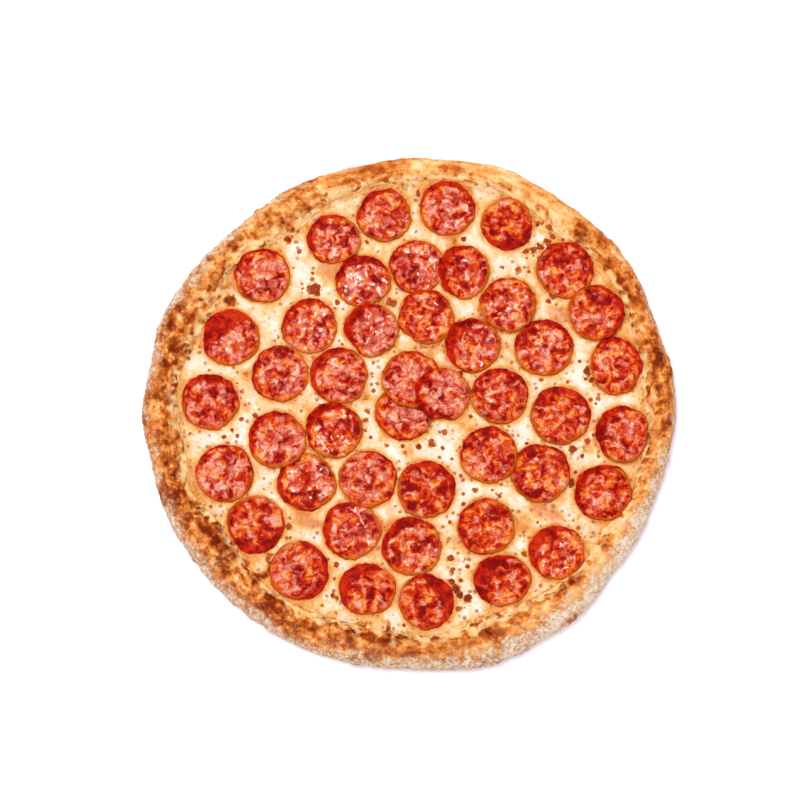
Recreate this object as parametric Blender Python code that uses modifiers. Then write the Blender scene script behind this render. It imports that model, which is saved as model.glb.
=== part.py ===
"""Pepperoni pizza, whole and uncut: a baked dough crust, a layer of melted cheese and 45 sausage slices.

Metres, +Z up. The pizza lies on its flat base at z = 0, with the middle of the base at the origin.
-Y is the side nearest the eater, and angles turn counter-clockwise from +X.
"""
import math
from collections import namedtuple

import bpy
import numpy as np
from mathutils import Vector
from mathutils.bvhtree import BVHTree

MM = 0.001

# Dough, in millimetres. The two outlines are read every ten degrees from +X.
RIM_EDGE = (
    178, 177.5, 175.5, 178, 179, 177.5, 177.5, 178.5, 175, 174, 172, 172,
    172, 170.5, 172.5, 174.5, 177, 175.5, 178, 175, 175.5, 175.5, 174.5, 174.5,
    174.5, 174.5, 174, 174, 177, 180, 178, 178.5, 174.5, 175, 174, 175.5,
)
CHEESE_EDGE = (
    158, 155.5, 159, 161.5, 161.5, 158, 160, 162.5, 160.5, 157.5, 155.5, 152.5,
    145, 148, 152.5, 147, 150, 154.5, 155, 151.5, 155, 148, 147.5, 152,
    152, 149.5, 148.5, 152.5, 152.5, 148.5, 150, 153, 154.5, 153, 158, 157.5,
)
BED = 6.0                 # dough under the cheese
RIM_LOW = 12.0            # rim height where no dough shows outside the cheese
RIM_RISE = 0.27           # extra height for each millimetre of bare dough
CROWN_IN = 3.0            # the rim's crown lies this far inside its outer edge,
CROWN_SHARE = 0.33        # plus this share of the bare dough
LAP = 7.0                 # cheese that climbs the rim's inner slope
BULGE = 0.4               # height of the widest place, as a share of the rim's height
FOOT_IN = 6.0             # rounded lower corner of the rim
UNEVEN = ((5, 0.8, 40), (9, 0.5, 100), (14, 0.4, 10))    # rim height waves: count, size, turn

# Large bubbles in the rim: angle, radius, diameter, height
BLISTERS = (
    (46.4, 168.5, 12, 1.8), (12.2, 167.5, 16, 2.2), (136.6, 162, 11, 1.6), (213.8, 153.5, 18, 3.2),
    (224.7, 151.5, 13, 1.6), (262.1, 153.5, 17, 2.4), (235.5, 161, 16, 1.6), (146.8, 142.5, 13, 1.8),
    (125.5, 148, 14, 1.8), (158.8, 167, 18, 1.4), (195.8, 164.5, 20, 1.6), (314.4, 159.5, 12, 1.4),
    (307.5, 175, 14, 1.4), (286.8, 176.5, 18, 1.4),
)
BLISTER_START = 3.0       # width over which a blister rises from the cheese's edge
BLISTER_FADE = 0.3        # share of the rim's height over which it fades out below the shoulder

# Cheese and toppings, in millimetres
GAP = 0.3                 # clear space between two pieces that touch
SLOPE_GAP = 0.6           # the same on the rim's inner slope
CHEESE = 3.5              # thickness in the middle of the pizza
CHEESE_RINGS = (0, 0.22, 0.44, 0.66, 0.85)    # shares of the flat part's radius
CHEESE_RIM = ((1, 2.9), (1.5, 2.0), (2, 1.0))    # station on the rim's slope and thickness there
SAUSAGE = 1.7             # thickness of a slice
BOWL = 0.5                # how far every slice's edge turns up
WAVY = ((3, 0.012), (5, 0.008))    # waves round a slice's edge: count and share of the radius
CHORD_FROM = 0.3          # least cosine off a flattened side at which its chord is worked out

# Laying of the slices
SAMPLE_STEP = 1.5         # spacing of the points at which a slice feels what is under it
RING_POINTS = 72          # further points of that kind round its edge
FIT_PASSES = 40           # rounds of the fit, and the weight in it of a point that would sink in
SINK_WEIGHT = 8.0
NEAR = 2.0                # slices that come closer than this may touch
ABOVE = 100.0             # height from which the surfaces are sounded
ROUNDING = 0.001

# Stations count the section's lines from the axis outwards: the bed up to 1, the cheese's edge at 2,
# the crown at 3, the outside at 4 and the rounded foot just below 5
CROWN, OUTSIDE, FOOT = 3, 4, 5
INNER_STATIONS = (0, 1, 1.5, 2, 2.33, 2.67, 3)
SHOULDER_STEPS = 4
FOOT_STEPS = 3
FOOT_SPACING = 1 / 30     # keeps the foot's stations apart; its true radius comes from FOOT_IN

STEPS = 140               # facets round the crust and the cheese
SLICE_STEPS = 16
SLICE_SHARES = (0, 0.6, 1)
MERGE = 0.0001            # distance at which a turned mesh's first and last points join
SMOOTH_TO = 50            # degrees between faces that still shade smoothly

# Each slice: place and diameter in millimetres, how far its edge curls up and towards which angle,
# its turn in the laying (0 first), a squeeze along one direction and a flattened side with its direction
Slice = namedtuple(
    "Slice", "x y across curl towards laid squeeze squeeze_at flat flat_at",
    defaults=(0, 1, 0, 0, 0))
SLICES = (
    Slice(-16.8, 133.7, 36.4, 1.8, 135),
    Slice(25.6, 138.4, 37.6, 0.8, 90),
    Slice(65.7, 127.5, 36.2, 0.8, 200, squeeze=0.96, flat=1.6, flat_at=25),
    Slice(-50.5, 117.5, 36.0, 1.6, 100, squeeze=0.94, squeeze_at=90, flat=1.2, flat_at=50),
    Slice(-98.1, 92.3, 37.9, 1.4, 60),
    Slice(-31.0, 88.8, 37.4, 3.2, 140, squeeze=0.94, squeeze_at=90),
    Slice(5.2, 98.5, 36.9, 1.2, 180),
    Slice(36.3, 95.0, 37.2, 3.0, 170, laid=1, squeeze=0.94),
    Slice(104.5, 96.4, 39.0, 0.6, 120),
    Slice(66.1, 72.3, 37.6, 1.0, 90, laid=1),
    Slice(125.1, 66.9, 38.0, 0.6, 100, laid=1),
    Slice(-66.2, 58.0, 37.2, 1.8, 120),
    Slice(-25.4, 54.9, 37.0, 3.0, 150, laid=1, flat=2.4, flat_at=222),
    Slice(11.5, 63.9, 37.6, 1.4, 135, flat=2.2, flat_at=232),
    Slice(42.5, 44.7, 37.4, 1.8, 160),
    Slice(90.0, 43.1, 39.4, 0.6, 90),
    Slice(-119.1, 50.4, 38.6, 3.6, 140),
    Slice(-86.0, 25.5, 38.2, 0.6, 120),
    Slice(-46.8, 24.1, 38.4, 1.8, 135),
    Slice(138.0, 30.9, 39.6, 0.8, 60, squeeze=0.88),
    Slice(1.5, 21.2, 39.4, 0.5, 120, laid=1),
    Slice(22.3, 11.1, 36.8, 1.2, 160, laid=2, flat=1.6, flat_at=268),
    Slice(-3.5, -1.0, 38.1, 0.5, 200),
    Slice(60.5, 10.2, 38.4, 0.8, 40),
    Slice(100.9, -2.9, 39.8, 0.5, 90),
    Slice(142.1, -15.8, 39.6, 2.0, 150, squeeze=0.9),
    Slice(-132.5, 6.5, 38.1, 1.0, 100),
    Slice(-87.5, -19.6, 38.6, 1.6, 130, laid=1),
    Slice(-50.2, -13.3, 38.4, 3.0, 120, laid=2),
    Slice(53.0, -30.0, 38.4, 1.0, 80, laid=1),
    Slice(87.3, -42.0, 40.0, 0.6, 100),
    Slice(129.2, -55.5, 38.8, 2.0, 140),
    Slice(-122.2, -42.3, 39.2, 0.5, 90),
    Slice(-68.1, -48.6, 39.2, 1.2, 225),
    Slice(-27.3, -46.3, 39.0, 0.6, 60, laid=1),
    Slice(11.6, -53.1, 39.0, 1.8, 70, laid=1),
    Slice(-101.8, -76.9, 39.2, 1.4, 170),
    Slice(-38.1, -80.9, 39.2, 1.6, 190),
    Slice(1.9, -91.7, 39.6, 1.4, 130),
    Slice(51.3, -78.4, 38.6, 1.0, 100),
    Slice(-72.9, -108.6, 39.6, 0.5, 150),
    Slice(98.0, -96.1, 38.2, 2.6, 190, squeeze=0.96, squeeze_at=60, flat=1.2, flat_at=300),
    Slice(-27.6, -120.8, 38.2, 1.8, 130, squeeze=0.92, squeeze_at=90),
    Slice(11.6, -129.1, 37.0, 1.6, 60),
    Slice(61.8, -114.6, 38.6, 3.0, 120, squeeze=0.91, squeeze_at=90),
)

DOUGH_COLOR = (0.72, 0.38, 0.13, 1)
CHEESE_COLOR = (0.93, 0.78, 0.45, 1)
SAUSAGE_COLOR = (0.55, 0.06, 0.03, 1)


def around(readings, angle):
    """Smooth closed curve through readings spaced evenly round the circle, by Catmull-Rom."""
    values = np.asarray(readings, float)
    place = np.asarray(angle, float) / math.tau * len(values)
    first = np.floor(place).astype(int)
    t = place - first
    p0, p1, p2, p3 = (values[(first + k) % len(values)] for k in (-1, 0, 1, 2))
    bend = 2 * p0 - 5 * p1 + 4 * p2 - p3
    twist = 3 * (p1 - p2) + p3 - p0
    return p1 + 0.5 * t * (p2 - p0 + t * (bend + t * twist))


def rim(angle):
    """Sizes of the rim at an angle: outer edge, crown, toe of the inner slope, cheese edge, height."""
    outer = around(RIM_EDGE, angle)
    edge = around(CHEESE_EDGE, angle)
    bare = outer - edge
    waves = sum(size * np.cos(count * angle + math.radians(turn)) for count, size, turn in UNEVEN)
    height = RIM_LOW + RIM_RISE * bare + waves
    return outer, outer - CROWN_IN - CROWN_SHARE * bare, edge - LAP, edge, height


def blister_height(radius, angle):
    """Rounded bumps: each is a cosine bell that ends at its own radius."""
    x, y = radius * np.cos(angle), radius * np.sin(angle)
    total = np.zeros_like(x)
    for turn, middle, across, height in BLISTERS:
        turn = math.radians(turn)
        far = np.hypot(x - middle * math.cos(turn), y - middle * math.sin(turn))
        total += height * (1 + np.cos(math.pi * np.clip(2 * far / across, 0, 1))) / 2
    return total


def dough_top(radius, angle):
    """Top of the dough inside the crown: flat under the cheese, then half a cosine wave up the rim."""
    _, crown, toe, edge, height = rim(angle)
    share = np.clip((radius - toe) / (crown - toe), 0, 1)
    wave = (height - BED) * (1 - np.cos(math.pi * share)) / 2
    return BED + wave + blister_height(radius, angle) * np.clip((radius - edge) / BLISTER_START, 0, 1)


def cheese_bumps(x, y):
    """Low uneven swells of melted cheese, from four crossing waves."""
    swell = 0
    for length, turn, size in ((61, 0.4, 0.22), (43, 1.9, 0.2), (34, 2.8, 0.16), (27, 1.1, 0.12)):
        along = x * math.cos(turn) + y * math.sin(turn)
        swell = swell + size * np.cos(math.tau * along / length + 3 * turn)
    return swell


def coordinates(mesh):
    """A mesh's vertices as an array, one row each."""
    flat = np.empty(3 * len(mesh.vertices))
    mesh.vertices.foreach_get("co", flat)
    return flat.reshape(-1, 3)


def stations(mesh):
    """The round coordinates of a turned mesh's vertices: distance from the axis, angle and height."""
    x, y, height = coordinates(mesh).T
    return np.hypot(x, y), np.arctan2(y, x), height


def spread(radius, angle, height):
    """Points from round coordinates."""
    return np.column_stack((radius * np.cos(angle), radius * np.sin(angle), height))


def turned(name, profile, steps):
    """Mesh turned round Z from a profile of (radius, height) points in millimetres, top to bottom."""
    mesh = bpy.data.meshes.new(name)
    points = [(radius, 0, height) for radius, height in profile]
    mesh.from_pydata(points, [(i, i + 1) for i in range(len(points) - 1)], [])
    guide = bpy.data.objects.new(name, mesh)
    bpy.context.scene.collection.objects.link(guide)
    screw = guide.modifiers.new("turn", "SCREW")
    screw.steps = screw.render_steps = steps
    screw.use_merge_vertices = True
    screw.merge_threshold = MERGE
    result = bpy.data.meshes.new_from_object(guide.evaluated_get(bpy.context.evaluated_depsgraph_get()))
    bpy.data.objects.remove(guide)
    bpy.data.meshes.remove(mesh)
    result.name = name
    return result


def material(name, color, roughness):
    """Principled material in one colour."""
    made = bpy.data.materials.new(name)
    made.use_nodes = True
    shader = made.node_tree.nodes["Principled BSDF"]
    shader.inputs["Base Color"].default_value = color
    shader.inputs["Roughness"].default_value = roughness
    made.diffuse_color = color
    return made


def add_object(name, mesh, points, finish, collection):
    """Object whose mesh vertices are the given points, in millimetres."""
    mesh.vertices.foreach_set("co", (points * MM).ravel())
    mesh.materials.clear()
    mesh.materials.append(finish)
    mesh.shade_smooth()
    mesh.set_sharp_from_angle(angle=math.radians(SMOOTH_TO))
    piece = bpy.data.objects.new(name, mesh)
    collection.objects.link(piece)
    return piece


def crust_profile():
    """Section of the crust, with stations in place of radii: set_radius turns them into real ones."""
    inner = [(station, 1) for station in INNER_STATIONS]
    upper, lower = [], []
    for k in range(1, SHOULDER_STEPS + 1):
        turn = math.pi / 2 * k / SHOULDER_STEPS
        upper.append((CROWN + math.sin(turn), BULGE + (1 - BULGE) * math.cos(turn)))
    for k in range(1, FOOT_STEPS + 1):
        turn = math.pi / 2 * k / FOOT_STEPS
        lower.append((FOOT - k * FOOT_SPACING, BULGE * (1 - math.sin(turn))))
    return inner + upper + lower + [(0, 0)]


def set_radius(station, angle):
    """Radius of a station."""
    outer, crown, toe, edge, _ = rim(angle)
    widths = (toe, edge - toe, crown - edge, outer - crown)
    return sum(width * np.clip(station - k, 0, 1) for k, width in enumerate(widths))


def make_crust(collection, finish):
    """Dough in one piece: a flat bed with a raised, uneven rim."""
    mesh = turned("crust", crust_profile(), STEPS)
    station, angle, share = stations(mesh)
    outer, _, _, _, height = rim(angle)
    tuck = FOOT_IN * (1 - np.sqrt(1 - (1 - np.clip(share / BULGE, 0, 1)) ** 2))
    on_foot = station > (OUTSIDE + FOOT) / 2
    radius = np.where(on_foot, outer - tuck, set_radius(station, angle))
    inside = (station <= CROWN + ROUNDING) & (share > BULGE)
    above = np.clip((share - BULGE) / BLISTER_FADE, 0, 1)
    outside = share * height + blister_height(radius, angle) * above
    top = np.where(inside, dough_top(radius, angle), outside)
    return add_object("crust", mesh, spread(radius, angle, top), finish, collection)


def make_cheese(collection, finish):
    """Melted cheese: a flat layer on the bed that thins out up the rim's inner slope."""
    top = [(ring, CHEESE) for ring in CHEESE_RINGS] + list(CHEESE_RIM)
    under = [(station, 0) for station, _ in reversed(CHEESE_RIM)]
    mesh = turned("cheese", top + under + [(0, 0)], STEPS)
    station, angle, thick = stations(mesh)
    radius = set_radius(station, angle)
    swell = cheese_bumps(radius * np.cos(angle), radius * np.sin(angle)) * (thick / CHEESE)
    gap = np.where(station < 1 - ROUNDING, GAP, SLOPE_GAP)
    top = dough_top(radius, angle) + gap + thick + swell
    return add_object("cheese", mesh, spread(radius, angle, top), finish, collection)


def outline(piece, angle):
    """Radius of a slice's edge: a slightly wavy circle, squeezed one way, with one side cut flat."""
    turns = (piece.x, piece.y)
    waves = sum(size * np.cos(count * angle + turn) for (count, size), turn in zip(WAVY, turns))
    radius = piece.across / 2 * (1 + waves)
    off = angle - math.radians(piece.squeeze_at)
    radius = radius / np.hypot(np.cos(off) / piece.squeeze, np.sin(off))
    facing = np.cos(angle - math.radians(piece.flat_at))
    chord = (piece.across / 2 - piece.flat) / np.maximum(facing, CHORD_FROM)
    return np.minimum(radius, chord) if piece.flat else radius


def cup(piece, share, angle):
    """Height of a slice over its middle: a shallow bowl and one side that curls up."""
    side = (1 + np.cos(angle - math.radians(piece.towards))) / 2
    return BOWL * share ** 2 + piece.curl * share ** 4 * side ** 2


def surface_tree(piece):
    """Search tree of an object's finished surface, in world space."""
    graph = bpy.context.evaluated_depsgraph_get()
    shaped = piece.evaluated_get(graph)
    mesh = shaped.to_mesh()
    points = [piece.matrix_world @ v.co for v in mesh.vertices]
    tree = BVHTree.FromPolygons(points, [tuple(face.vertices) for face in mesh.polygons])
    shaped.to_mesh_clear()
    return tree


def height_below(trees, x, y):
    """Highest surface under a point, in millimetres."""
    start = Vector((x, y, ABOVE)) * MM
    hits = (tree.ray_cast(start, Vector((0, 0, -1)))[0] for tree in trees)
    return max(hit.z for hit in hits if hit) / MM


def bend_terms(x, y):
    """Plane and bending terms for a soft slice: 1, x, y, x squared, xy and y squared."""
    return np.column_stack((np.ones_like(x), x, y, x * x, x * y, y * y))


def lie_on(piece, trees):
    """Bending of a slice laid on the trees: the closest smooth sheet above all that it covers.

    It is fitted by least squares in which a point that would sink in weighs far more than one that
    hangs clear, and then raised until nothing touches.
    """
    reach = piece.across / 2 + GAP
    grid = np.arange(-reach, reach + SAMPLE_STEP, SAMPLE_STEP)
    x, y = (part.ravel() for part in np.meshgrid(grid, grid))
    ring = np.linspace(0, math.tau, RING_POINTS, endpoint=False)
    x = np.concatenate((x, (outline(piece, ring) + GAP) * np.cos(ring)))
    y = np.concatenate((y, (outline(piece, ring) + GAP) * np.sin(ring)))
    angle = np.arctan2(y, x)
    share = np.hypot(x, y) / (outline(piece, angle) + GAP)
    kept = share <= 1 + ROUNDING
    x, y, angle, share = x[kept], y[kept], angle[kept], share[kept]
    below = np.array([height_below(trees, piece.x + a, piece.y + b) for a, b in zip(x, y)])
    wanted = below + GAP - cup(piece, share, angle)
    terms = bend_terms(x / reach, y / reach)
    weight = np.ones_like(x)
    for _ in range(FIT_PASSES):
        bend = np.linalg.lstsq(terms * weight[:, None], wanted * weight, rcond=None)[0]
        weight = np.where(terms @ bend < wanted, SINK_WEIGHT, 1.0)
    bend[0] += max(0, (wanted - terms @ bend).max())
    return bend, reach


def make_slice(name, piece, disc, trees, collection, finish):
    """One sausage slice, bent over what it lies on. Its mesh is the underside, which Solidify thickens."""
    bend, reach = lie_on(piece, trees)
    share, angle, _ = stations(disc)
    radius = share * outline(piece, angle)
    x, y = radius * np.cos(angle), radius * np.sin(angle)
    top = bend_terms(x / reach, y / reach) @ bend + cup(piece, share, angle)
    made = add_object(name, disc.copy(), spread(radius, angle, top - bend[0]), finish, collection)
    made.location = (piece.x * MM, piece.y * MM, bend[0] * MM)
    wall = made.modifiers.new("thickness", "SOLIDIFY")
    wall.thickness = SAUSAGE * MM
    wall.offset = 1
    bpy.context.view_layer.update()
    return made


def main():
    for old in list(bpy.data.objects):
        bpy.data.objects.remove(old)
    collection = bpy.data.collections.new("pepperoni_pizza")
    bpy.context.scene.collection.children.link(collection)
    crust = make_crust(collection, material("baked_dough", DOUGH_COLOR, 0.75))
    cheese = make_cheese(collection, material("melted_cheese", CHEESE_COLOR, 0.45))
    bpy.context.view_layer.update()
    ground = [surface_tree(crust), surface_tree(cheese)]
    sausage = material("cured_sausage", SAUSAGE_COLOR, 0.4)
    disc = turned("disc", [(share, 0) for share in SLICE_SHARES], SLICE_STEPS)
    laid = []
    for number, piece in sorted(enumerate(SLICES, 1), key=lambda item: item[1].laid):
        near = []
        for other, tree in laid:
            apart = math.dist((other.x, other.y), (piece.x, piece.y))
            if apart < (other.across + piece.across) / 2 + NEAR:
                near.append(tree)
        made = make_slice(f"pepperoni_{number:02d}", piece, disc, ground + near, collection, sausage)
        laid.append((piece, surface_tree(made)))


main()
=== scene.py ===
import itertools
import math

import bpy
import numpy as np
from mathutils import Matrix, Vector


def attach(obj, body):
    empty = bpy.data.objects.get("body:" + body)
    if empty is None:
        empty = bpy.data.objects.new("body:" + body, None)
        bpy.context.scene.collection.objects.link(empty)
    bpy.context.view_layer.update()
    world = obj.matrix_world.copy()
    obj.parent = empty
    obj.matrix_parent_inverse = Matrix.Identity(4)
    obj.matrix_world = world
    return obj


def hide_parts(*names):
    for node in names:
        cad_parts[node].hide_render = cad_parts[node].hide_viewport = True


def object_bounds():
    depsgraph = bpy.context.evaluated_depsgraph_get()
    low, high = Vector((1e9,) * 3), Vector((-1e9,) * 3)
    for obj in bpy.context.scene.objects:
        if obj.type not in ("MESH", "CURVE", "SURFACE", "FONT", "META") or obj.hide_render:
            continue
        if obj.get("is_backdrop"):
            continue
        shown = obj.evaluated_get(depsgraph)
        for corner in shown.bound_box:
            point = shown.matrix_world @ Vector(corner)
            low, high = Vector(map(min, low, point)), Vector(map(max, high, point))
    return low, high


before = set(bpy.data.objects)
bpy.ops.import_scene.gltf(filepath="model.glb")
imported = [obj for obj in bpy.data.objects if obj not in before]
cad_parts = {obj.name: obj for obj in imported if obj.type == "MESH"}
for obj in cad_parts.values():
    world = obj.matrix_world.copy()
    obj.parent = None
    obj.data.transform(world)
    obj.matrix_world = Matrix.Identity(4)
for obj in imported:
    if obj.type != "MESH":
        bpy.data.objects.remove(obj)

LOW, HIGH = (1000 * np.array(corner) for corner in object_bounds())
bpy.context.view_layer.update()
BODY = "root"

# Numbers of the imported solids
CRUST_SPOKES = 140
SLICE_SPOKES = 16
SKIRT_RINGS = 3           # the cheese's outer corners that have one under them
SLICE_RING = 0.6          # a slice's inner ring, as a share of its radius
SLICE_REACH = 27          # how far from a slice's middle it shapes and oils the cheese
SAUSAGE = 1.7             # slice thickness
CREST_RADIUS = 165        # from the pizza's middle to the rim's crest
CORNER_STEP = 6           # roughly, between the corners of the rim's section
RIM_CORE_IN, RIM_CORE_UP = 12, 3    # a point inside that section, from its edge and its foot
POLE_REACH = 3            # corners nearer the middle than this are poles

# Mesh fineness
CRUST_AROUND, CRUST_ALONG = 1080, 82
BASE_RINGS = (0.96, 0.8, 0.55, 0.3)
CHEESE_SIDE = 300
SLICE_AROUND, SLICE_ALONG = 144, 38
SLICE_EDGE = 9            # steps round a slice's edge
SLICE_UNDER = (1, 0.9, 0.7, 0.4)
SCRAP_AROUND, SCRAP_ALONG = 28, 8

# Room kept inside the CAD box, and the height under its top within which bumps are pressed flatter
BOX_GAP, SOFT_TOP = 0.02, 1

# The photograph's pixels: millimetres across and down the pizza for each, and the pixel at its middle
PIXEL_X, PIXEL_Y = 0.666, 0.681
MIDDLE_X, MIDDLE_Y = 409, 411


def pixel(across, down):
    """Where a pixel of the photograph lies on the pizza."""
    return (across - MIDDLE_X) * PIXEL_X, (MIDDLE_Y - down) * PIXEL_Y


def catmull(t):
    """Catmull-Rom weights of the four readings round a place, t of the way from the second to the third."""
    weights = (-t + 2 * t**2 - t**3, 2 - 5 * t**2 + 3 * t**3, t + 4 * t**2 - 3 * t**3, t**3 - t**2)
    return np.stack(weights) / 2


def smooth_sheet(rings, turn, along):
    """The smooth surface through rings[spoke, ring], closed round the spokes, at any places on it.

    The sixteen corners round a place are weighted by the products of their Catmull-Rom weights.
    """
    spokes, count = rings.shape[:2]
    i = np.floor(turn).astype(int)
    j = np.clip(np.floor(along).astype(int), 0, count - 2)
    across, down = catmull(turn - i), catmull(along - j)
    total = 0
    for a, b in itertools.product(range(4), repeat=2):
        corner = rings[(i + a - 1) % spokes, np.clip(j + b - 1, 0, count - 1)]
        total = total + corner * (across[a] * down[b])[..., None]
    return total


def around(readings, angle):
    """Smooth closed curve through readings spaced evenly round the circle."""
    column = np.asarray(readings, float)[:, None, None].repeat(2, axis=1)
    return smooth_sheet(column, angle / math.tau * len(readings), np.zeros_like(angle))[..., 0]


def noise(points, size, seed):
    """Gradient noise from about -1 to 1, with lumps of the given size.

    Each corner of a cube lattice has a random direction, and the dot products with the offsets from the
    eight corners are blended by 6t^5 - 15t^4 + 10t^3.
    """
    rng = np.random.default_rng(seed)
    order = rng.permutation(256)
    slopes = rng.normal(size=(256, 3))
    slopes /= np.linalg.norm(slopes, axis=1)[:, None]
    place = points / size
    cell = np.floor(place).astype(int)
    t = place - cell
    blend = t**3 * (t * (t * 6 - 15) + 10)
    total = 0
    for corner in itertools.product((0, 1), repeat=3):
        at = cell + corner
        pick = order[(order[(order[at[..., 0] % 256] + at[..., 1]) % 256] + at[..., 2]) % 256]
        weight = np.prod(np.where(corner, blend, 1 - blend), axis=-1)
        total = total + weight * (slopes[pick] * (t - corner)).sum(-1)
    return 1.7 * total


def layered(points, size, seed, layers=4):
    """Noise on noise: each layer half the size and half the height of the one before."""
    return sum(noise(points, size / 2**k, seed + k) / 2**k for k in range(layers))


def ramp(value, low, high):
    """Smooth step from 0 at low to 1 at high."""
    t = np.clip((value - low) / (high - low), 0, 1)
    return t * t * (3 - 2 * t)


def corners(node):
    """A CAD node's corners in millimetres, each once."""
    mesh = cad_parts[node].data
    flat = np.empty(3 * len(mesh.vertices), np.float32)
    mesh.vertices.foreach_get("co", flat)
    return 1000 * np.unique(flat.reshape(-1, 3), axis=0).astype(float)


def spokes(points, count):
    """Corners of a turned solid as [spoke, corner], without its poles. They are (radius, height, angle)."""
    radius = np.hypot(points[:, 0], points[:, 1])
    angle = np.arctan2(points[:, 1], points[:, 0]) % math.tau
    polar = np.column_stack((radius, points[:, 2], angle))[radius > POLE_REACH]
    spoke = np.round(polar[:, 2] / math.tau * count).astype(int) % count
    return polar[np.argsort(spoke, kind="stable")].reshape(count, -1, 3)


def sort_spokes(rings, key):
    """Each spoke's corners in the order of the key."""
    return np.take_along_axis(rings, key.argsort(axis=1)[..., None], axis=1)


def even_steps(section, count):
    """Places along a polyline, in corners, that lie at even distances."""
    length = np.concatenate(([0], np.cumsum(np.linalg.norm(np.diff(section, axis=0), axis=1))))
    return np.interp(np.linspace(0, length[-1], count), length, np.arange(len(length)))


def grid_faces(rows, columns, closed):
    """Quads of a grid of points stored row by row, with its last column joined to the first if closed."""
    i, j = np.meshgrid(np.arange(rows - 1), np.arange(columns if closed else columns - 1), indexing="ij")
    k = (j + 1) % columns
    quads = (i * columns + j, (i + 1) * columns + j, (i + 1) * columns + k, i * columns + k)
    return np.stack(quads, -1).reshape(-1, 4)


def fan_faces(ring, pole, outward=True):
    """Triangles from a ring of points to a pole."""
    after = np.roll(ring, -1)
    middle = np.full_like(ring, pole)
    return np.column_stack((ring, after, middle) if outward else (after, ring, middle))


def grid_normals(points):
    """Unit normals of a grid [row, column, xyz] closed round its columns, from differences both ways."""
    down = np.gradient(points, axis=0)
    sideways = np.roll(points, -1, axis=1) - np.roll(points, 1, axis=1)
    normal = np.cross(down, sideways)
    return normal / np.maximum(np.linalg.norm(normal, axis=-1), 1e-9)[..., None]


def make_piece(name, points, faces, finish, attributes, stands_for):
    """Closed mesh object from points in millimetres, with vertex attributes for its material."""
    mesh = bpy.data.meshes.new(name)
    mesh.from_pydata((points * 0.001).tolist(), [], [face for block in faces for face in block.tolist()])
    for label, values in attributes.items():
        made = mesh.attributes.new(label, "FLOAT", "POINT")
        made.data.foreach_set("value", np.broadcast_to(values, len(points)).astype(np.float32))
    mesh.shade_smooth()
    mesh.materials.append(finish)
    piece = bpy.data.objects.new(name, mesh)
    bpy.context.scene.collection.objects.link(piece)
    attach(piece, BODY)
    if stands_for:
        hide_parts(stands_for)
    return piece


def color(value):
    """Linear RGBA from an sRGB hex value."""
    parts = [int(value[k:k + 2], 16) / 255 for k in (0, 2, 4)]
    return [p / 12.92 if p <= 0.04045 else ((p + 0.055) / 1.055) ** 2.4 for p in parts] + [1]


def per(size):
    """Scale of a pattern on Object coordinates whose cells are this many millimetres."""
    return 1000 / size


def add(tree, kind, inputs=(), output=0, **settings):
    """Adds a shader node with its settings, sets or links its inputs and gives one of its outputs."""
    node = tree.nodes.new("ShaderNode" + kind)
    for key, value in settings.items():
        if key == "stops":
            band = node.color_ramp.elements
            while len(band) < len(value):
                band.new(1)
            for element, (place, shade) in zip(band, value):
                element.position, element.color = place, color(shade)
        else:
            setattr(node, key, value)
    for key, value in dict(inputs).items():
        if isinstance(value, bpy.types.NodeSocket):
            tree.links.new(value, node.inputs[key])
        else:
            node.inputs[key].default_value = value
    return node.outputs[output]


SOFT = {"interpolation_type": "SMOOTHSTEP"}         # a Map Range that eases in and out
COLORS = {"output": 2, "data_type": "RGBA"}         # a Mix of two colours


def start_material(name):
    """An empty material with its node tree, output and Object coordinates."""
    finish = bpy.data.materials.new(name)
    finish.use_nodes = True
    finish.node_tree.nodes.clear()
    tree = finish.node_tree
    return finish, tree, add(tree, "TexCoord", output=3)


def close_material(tree, shader):
    """Joins the shader to the material's output."""
    out = tree.nodes.new("ShaderNodeOutputMaterial")
    tree.links.new(shader, out.inputs["Surface"])


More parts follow.
